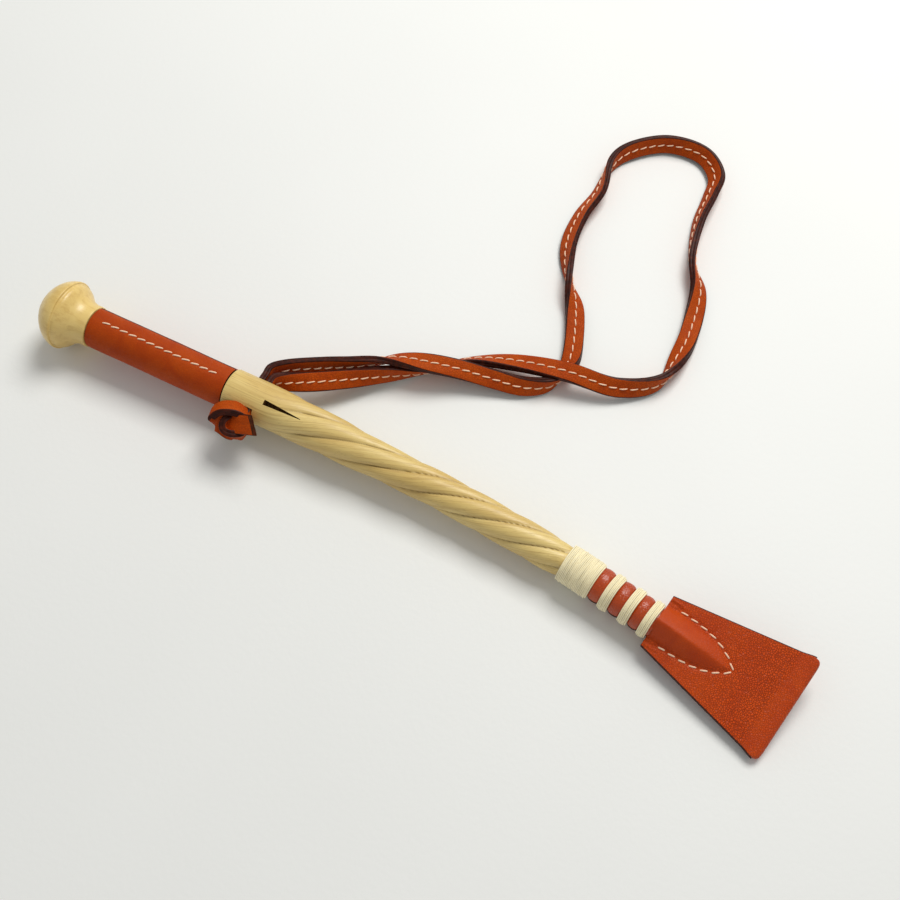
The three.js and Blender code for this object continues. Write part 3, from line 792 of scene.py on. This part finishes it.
def cut(obj, points, faces):
    """Takes a closed cutting shape away from a mesh; the cut's own faces are dark sawn wood."""
    mesh = bpy.data.meshes.new("cutter")
    mesh.from_pydata(points.tolist(), [], faces)
    mesh.materials.append(SAWN_WOOD)
    cutter = bpy.data.objects.new("cutter", mesh)
    bpy.context.scene.collection.objects.link(cutter)
    modifier = obj.modifiers.new("cut", "BOOLEAN")
    modifier.operation = "DIFFERENCE"
    modifier.object = cutter
    modifier.solver = "EXACT"
    modifier.material_mode = "TRANSFER"
    with bpy.context.temp_override(object=obj, active_object=obj):
        bpy.ops.object.modifier_apply(modifier=modifier.name)
    bpy.data.objects.remove(cutter)


BOX_FACES = [(0, 1, 3, 2), (4, 6, 7, 5), (0, 4, 5, 1), (2, 3, 7, 6), (0, 2, 6, 4), (1, 5, 7, 3)]


def kerf_cutter():
    radial = (ROOT_RADIUS - KERF["depth"], ROOT_RADIUS * 1.6)
    points = [(s, w * side, z)
              for s, w in ((KERF["start"], KERF["width"] / 2), (KERF["end"], KERF["width"] / 16))
              for side in (-1, 1) for z in radial]
    return np.array(points) @ turn("x", KERF["angle"] - math.pi / 2).T


def slot_cutter():
    half = np.array([SLOT["width"], 4 * ROOT_RADIUS, SLOT["height"]]) / 2
    signs = np.array([(x, y, z) for x in (-1, 1) for y in (-1, 1) for z in (-1, 1)])
    return (signs * half) @ turn("x", SLOT["tilt"] - ROLL).T + np.array([SLOT["s"], 0, 0])


def shaft():
    start = GRIP_END + 0.0003
    s = np.concatenate([[start, start, start + 0.00012], np.arange(start + 0.0004, 0.199, 0.0006)])
    inset = np.concatenate([[0.0015, 0.0003, 0.00008], np.zeros(len(s) - 3)])
    angle = np.linspace(0, 2 * math.pi, 160, endpoint=False)
    s_grid, angle_grid = np.meshgrid(s, angle, indexing="ij")
    dip = strand_depth(s_grid) * groove_share(angle_grid, s_grid)
    radius = shaft_radius(s_grid) * (1 - dip) - inset[:, None]
    radius += 0.00006 * bump_noise(s_grid + angle_grid * 0.003, 11, 0.024) * (s_grid > 0.07)
    form = Form().loft(polar(s_grid, radius, angle_grid), 0, caps=(0, 0))
    obj = form.mesh_object("shaft_cane", [CANE])
    cut(obj, slot_cutter(), BOX_FACES)
    cut(obj, kerf_cutter(), BOX_FACES)
    points = np.array([v.co for v in obj.data.vertices], float)
    s, y, z = points.T
    turned_back = twist_at(s)
    c, n = np.cos(turned_back), np.sin(turned_back)
    give_attribute(obj.data, "fibre", np.stack([s, c * y - n * z, n * y + c * z], 1))
    around = np.arctan2(z, y)
    shade = groove_share(around, s) ** 4 * strand_depth(s) / GROOVE_DEPTH
    give_attribute(obj.data, "groove", shade)
    obj.data.vertices.foreach_set("co", lay(points).astype(np.float32).ravel())
    obj.data.set_sharp_from_angle(angle=math.radians(42))
    return obj


# Whippings and tongues ---------------------------------------------------------------------------

def whipping(name, start, end):
    """Turns of twine laid side by side, a little uneven, with painted shade of uneven depth in the
    gaps between them.
    """
    turns = int(round((end - start) / TWINE))
    per_turn, sides = 9, 90
    angle = np.linspace(0, 2 * math.pi, sides, endpoint=False)
    t = np.arange(turns * per_turn + 1) / per_turn
    phase = np.mod(t, 1)
    ridge = np.sqrt(np.clip(1 - (2 * phase - 1) ** 2, 0, 1))
    ridge[0] = ridge[-1] = 0
    number = np.minimum(np.floor(t), turns - 1)
    uneven = 0.00007 * np.sin(number * 2.4 + 1.1 * len(name))
    uneven = uneven - 0.0002 * np.exp(-number / 0.7) - 0.0002 * np.exp(-(turns - 1 - number) / 0.7)
    s = start + (end - start) * t / turns
    drift = 0.00014 * np.sin(angle + len(name)) + 0.00005 * np.sin(3 * angle)
    radius = WHIP_RADIUS - TWINE / 2 + ridge * TWINE / 2 + uneven
    wander = 0.00006 * np.sin(3 * angle[None] + number[:, None] * 1.7)
    rings = polar(s[:, None] + drift[None], radius[:, None] + wander, angle[None])
    low = polar(s[[0, -1], None] + drift[None], WHIP_RADIUS - 2.4 * TWINE, angle[None])
    form = Form().loft([low[0], *rings, low[1]], 0, looped=True)
    # Painted shade in the gaps between turns, deeper in some places than in others; the hidden end
    # rings are fully shaded.
    strength = 0.55 + 0.45 * np.sin(number[:, None] * 3.7 + 4 * np.sin(angle + number[:, None]))
    hidden = np.ones((1, sides))
    gap = np.vstack([hidden, (1 - ridge[:, None]) ** 1.5 * strength, hidden])
    return form.mesh_object(f"{name}_turns", [WHIPPING_TWINE], lay(form.array()),
                            {"groove": gap.ravel()})


def tongue(name, side):
    """The flap's tongue under the whippings; it swells a little in each gap between them."""
    start, end = 0.1735, FLAP_START + 0.0004
    s = np.arange(start, end, 0.0002)
    bands = [WHIPPINGS[f"whipping_band_{k}"] for k in (1, 2, 3)]
    gaps = zip([WHIPPINGS["whipping_wide"][1], *(b[1] for b in bands[:2])], [b[0] for b in bands])
    swell = sum(np.sqrt(np.clip(1 - ((2 * s - a - b) / (b - a)) ** 2, 0, 1)) for a, b in gaps)
    outer = TONGUE_RADIUS - 0.0001 + 0.00062 * swell
    inner = TONGUE_RADIUS - 0.0012
    spans = np.linspace(-TONGUE_SPAN, TONGUE_SPAN, 49)
    rim = 0.00028
    rings = []
    for k in range(len(s)):
        top = polar(s[k], outer[k] - rim * np.abs(spans / TONGUE_SPAN) ** 24, spans)
        under = polar(s[k], inner, spans[::-1])
        rings.append(np.vstack([top, under]))
    rings = np.array(rings)
    turned = rings @ turn("x", side * math.pi / 2).T
    columns = [0] * (2 * len(spans))
    for j in (0, len(spans) - 2, len(spans) - 1, 2 * len(spans) - 1):
        columns[j] = 1
    form = Form().loft(turned, columns, caps=(1, 1))
    points = form.array()
    grain = np.full(len(points), 0.5)
    return form.mesh_object(name, [TONGUE_LEATHER, EDGE_PAINT], lay(points), {"grain": grain})


# Flap ------------------------------------------------------------------------------------------------

def flap_half_width(s):
    share = (s - FLAP_START) / (FLAP_END - FLAP_START)
    return FLAP_HALF_WIDTHS[0] + (FLAP_HALF_WIDTHS[1] - FLAP_HALF_WIDTHS[0]) * share


def pocket_rise(a, y):
    """How far the moulded pocket stands over the flap: a roof with a soft ridge."""
    share = np.clip(a / POCKET["length"], 0, 1)
    half = np.maximum(POCKET["half_width"] * (1 - share ** 4), 1e-6)
    height = POCKET["height"] * (1 - share ** 1.6)
    t = np.clip(np.sqrt(y ** 2 + 0.0003 ** 2) / half, 0, 1)
    return height * (1 - t ** 1.3) ** 0.9 * (a < POCKET["length"])


def seam_offset(a, y):
    """Distance on the flap's face from the V seam, roughly, in metres."""
    half = V_SEAM["half_width"] * (1 - np.clip(a / V_SEAM["length"], 0, 1) ** 4)
    steep = np.sqrt(1 + (4 * V_SEAM["half_width"] * np.clip(a, 0, V_SEAM["length"]) ** 3
                         / V_SEAM["length"] ** 4) ** 2)
    return (np.abs(y) - half) / steep


def flap_height(s, y):
    """Height of the flap's face over its middle plane."""
    a = s - FLAP_START
    beside = (a > V_SEAM["start"] - 0.001) * (a < V_SEAM["length"] + 0.0005)
    seam = 0.00022 * np.exp(-((seam_offset(a, y) / 0.00055) ** 2)) * beside
    creases = 0.00016 * np.sin((np.abs(y) - 0.0045) / 0.0009 * math.pi) \
        * smoothstep(np.abs(y), 0.0050, 0.0058) * (1 - smoothstep(np.abs(y), 0.0066, 0.0074)) \
        * (1 - smoothstep(a, 0.001, 0.006))
    return FLAP_HALF + pocket_rise(a, y) - seam + creases


def flap_outline(s, v):
    """Lateral place at share v, -1 to 1, of the flap's width, and how far its end corners draw in."""
    drawn = FLAP_CORNER * (1 - np.sqrt(np.clip(1 - np.abs(v) ** 22, 0, 1)))
    return v * flap_half_width(s), drawn * smoothstep(s, FLAP_END - 0.006, FLAP_END)


def flap():
    fold = FLAP_END - FLAP_HALF
    bend = fold + FLAP_HALF * np.sin(np.radians([8, 18, 28, 38, 48, 58, 67, 75, 81, 86, 89.5]))
    s = np.concatenate([[FLAP_START, FLAP_START + 0.00008, FLAP_START + 0.00022],
                        np.arange(FLAP_START + 0.0005, fold, 0.0003), bend])
    near_cut = np.concatenate([[0.0003, 0.00013, 0.00003], np.zeros(len(s) - 3)])
    thin = np.sqrt(np.clip(1 - (np.maximum(s - fold, 0) / FLAP_HALF) ** 2, 0, 1))
    rim = 0.00035
    v = np.sin(np.linspace(-math.pi / 2, math.pi / 2, 101)) * 0.5 + np.linspace(-1, 1, 101) * 0.5
    sides = [(0.00010, 0.93), (0.00028, 0.72), (0.00033, 0.4), (0.00030, 0.12), (0.00016, 0.0)]
    sides += [(x, -z) for x, z in sides[-2::-1]]
    rings, grain = [], []
    for k, at in enumerate(s):
        y, drawn = flap_outline(at, v)
        inner_y = y * (1 - rim / flap_half_width(at))
        z = (flap_height(at, inner_y) - near_cut[k]) * thin[k]
        a = at - FLAP_START
        # Grain strength, weaker at the fold and on the pocket; where it is weak the flap's material
        # paints shade.
        rough = 0.55 + 0.45 * smoothstep(at, FLAP_START + 0.012, FLAP_END - 0.008)
        rough = rough * (1 - 0.5 * smoothstep(at, FLAP_END - 0.0064, FLAP_END - 0.0044))
        on_pocket = smoothstep(pocket_rise(a, inner_y), 0.0001, 0.0009)
        rough = rough * (1 - 0.6 * on_pocket)
        edge_x = at - FLAP_CORNER * smoothstep(at, FLAP_END - 0.006, FLAP_END)
        upper = np.stack([at - drawn, inner_y, z], 1)
        half_edge = flap_half_width(at) - rim
        edge = np.array([(edge_x, half_edge + out, FLAP_HALF * lift * thin[k])
                         for out, lift in sides])
        mirror = np.array([1, -1, -1])
        rings.append(np.vstack([upper, edge, (upper * mirror), edge * mirror]))
        grain.append(np.concatenate([rough, np.zeros(len(edge)), rough, np.zeros(len(edge))]))
    rings = np.array(rings)
    n_face, n_edge = len(v), len(sides)
    column = [0] * (n_face - 1) + [1] * (n_edge + 1)
    form = Form().loft(rings, column * 2, caps=(1, None))
    points = form.array() + np.array([0, FLAP_SHIFT, 0])
    grain = np.concatenate([np.concatenate(grain), [0.0]])
    return form.mesh_object("flap_leather", [FLAP_LEATHER, EDGE_PAINT], lay(points), {"grain": grain})


def flap_stitches(name, side):
    """The V seam round the pocket on one face of the flap."""
    t = np.linspace(-1, 1, 241)
    a = V_SEAM["length"] + (V_SEAM["start"] - V_SEAM["length"]) * np.abs(t) ** 1.5
    y = np.sign(t) * V_SEAM["half_width"] * (1 - (a / V_SEAM["length"]) ** 4)
    path = np.stack([a, y, np.zeros_like(a)], 1)
    run = lengths(path)
    pitch = run[-1] / V_SEAM["stitches"]
    form = Form()
    for k in range(V_SEAM["stitches"]):
        at = run[-1] * (k + 0.5) / V_SEAM["stitches"] + np.linspace(-0.5, 0.5, 9) * pitch * 0.68
        line = np.stack([np.interp(at, run, path[:, i]) for i in range(3)], 1)
        along = unit(line[-1] - line[0])
        slant = np.array([-along[1], along[0], 0]) * math.sin(math.radians(8))
        w = np.linspace(-1, 1, 9)
        line = line + slant * (w * pitch * 0.34)[:, None]
        height = flap_height(FLAP_START + line[:, 0], line[:, 1]) + 0.0001 - 0.0003 * np.abs(w) ** 4
        stitch(form, np.stack([FLAP_START + line[:, 0], line[:, 1] + FLAP_SHIFT, side * height], 1))
    return form.mesh_object(name, [SEWING_THREAD], lay(form.array()))


# Stage ---------------------------------------------------------------------------------------------

def floor():
    size = 1.6
    mesh = bpy.data.meshes.new("table_top")
    corners = [(-size, -size, 0), (size, -size, 0), (size, size, 0), (-size, size, 0)]
    mesh.from_pydata(corners, [], [(0, 1, 2, 3)])
    mesh.materials.append(table_top())
    obj = bpy.data.objects.new("table_top", mesh)
    bpy.context.scene.collection.objects.link(obj)


def soft_light(name, place, target, size, power, tint=(1, 1, 1)):
    lamp = bpy.data.lights.new(name, "AREA")
    lamp.shape = "RECTANGLE"
    lamp.size, lamp.size_y = size
    lamp.energy = power
    lamp.color = tint
    obj = bpy.data.objects.new(name, lamp)
    obj.location = place
    obj.rotation_mode = "QUATERNION"
    obj.rotation_quaternion = (Vector(target) - Vector(place)).to_track_quat("-Z", "Y")
    bpy.context.scene.collection.objects.link(obj)


def camera():
    data = bpy.data.cameras.new("camera")
    data.sensor_width = SENSOR_WIDTH
    data.lens = SENSOR_WIDTH / 2 / math.tan(FIELD_OF_VIEW / 2)
    data.clip_start = 0.01
    obj = bpy.data.objects.new("camera", data)
    place = Vector(CAMERA_PLACE - CENTRE)
    target = Vector(CAMERA_TARGET - CENTRE)
    obj.location = place
    obj.rotation_mode = "QUATERNION"
    obj.rotation_quaternion = (target - place).to_track_quat("-Z", "Y")
    bpy.context.scene.collection.objects.link(obj)
    bpy.context.scene.camera = obj


def room():
    world = bpy.data.worlds.new("room")
    world.use_nodes = True
    background = world.node_tree.nodes["Background"]
    background.inputs["Color"].default_value = (1.0, 1.0, 1.0, 1.0)
    background.inputs["Strength"].default_value = 0.42
    bpy.context.scene.world = world
    bpy.context.scene.view_settings.view_transform = "Standard"
    soft_light("window", place=(0.07, 0.49, 0.73), target=(0.02, 0.03, 0.0), size=(0.42, 0.42),
               power=5.9, tint=(1.0, 0.99, 0.965))


# Assembly ------------------------------------------------------------------------------------------

camera()
floor()
room()

strap, strap_stitching, strap_line = wrist_strap()
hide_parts("strap_loop", "strap_end_rear", "strap_end_front")
for soft_piece in (strap, strap_stitching):
    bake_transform(soft_piece)

rigid = [
    (knob(), "waxed_wood", ["knob"]),
    (grip_sleeve(), "orange_leather", ["grip_sleeve"]),
    (grip_stitches(), "pale_thread", ["grip_seam_thread"]),
    (knot(), "orange_leather", ["strap_knot", "strap_tail"]),
    (shaft(), "cane", ["shaft"]),
    *((whipping(name, *span), "whipping_twine", [name]) for name, span in WHIPPINGS.items()),
    (tongue("tongue_upper", 1), "orange_leather", []),
    (tongue("tongue_lower", -1), "orange_leather", []),
    (flap_stitches("flap_stitches_upper", 1), "pale_thread", ["flap_seam_upper"]),
    (flap_stitches("flap_stitches_lower", -1), "pale_thread", ["flap_seam_lower"]),
]
for piece, slot, nodes in rigid:
    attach(piece, "crop")
    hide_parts(*nodes)

flap_piece = flap()
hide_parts("flap_leaf_upper", "flap_leaf_lower", "flap_fold")
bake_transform(flap_piece)
